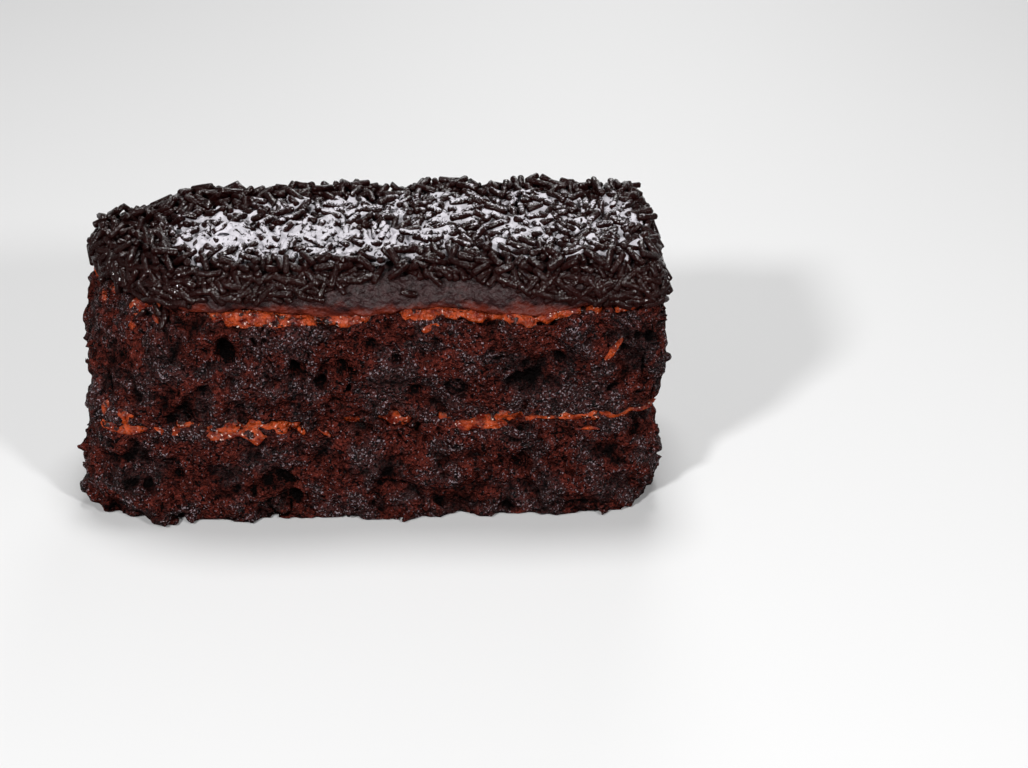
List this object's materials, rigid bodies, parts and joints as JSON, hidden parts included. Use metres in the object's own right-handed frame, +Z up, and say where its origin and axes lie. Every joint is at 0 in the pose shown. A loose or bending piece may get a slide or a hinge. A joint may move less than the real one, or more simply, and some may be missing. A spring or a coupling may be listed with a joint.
{
  "type": "slice of chocolate cake",
  "caption": "Bar-shaped slice of layered chocolate cake: sponge and filling in turn under icing strewn with chocolate strands, one end broken and rounded.",
  "frame": {"origin": "bottom centre of the slice's bounding box, on the surface it rests on", "axes": "+X along the slice to its square end, -Y out of the cut face that the picture shows, +Z up"},
  "size_m": [0.1348, 0.0578, 0.0634],
  "materials": {
    "sponge": "rough, moist dark chocolate crumb",
    "filling": "glossy, reddish-brown",
    "icing": "satin grey-brown icing with satin near-black strands"
  },
  "bodies": {
    "root": {"sponge_lower": "sponge", "filling_lower": "filling", "sponge_upper": "sponge", "filling_upper": "filling", "icing_with_strands": "icing"}
  },
  "joints": []
}
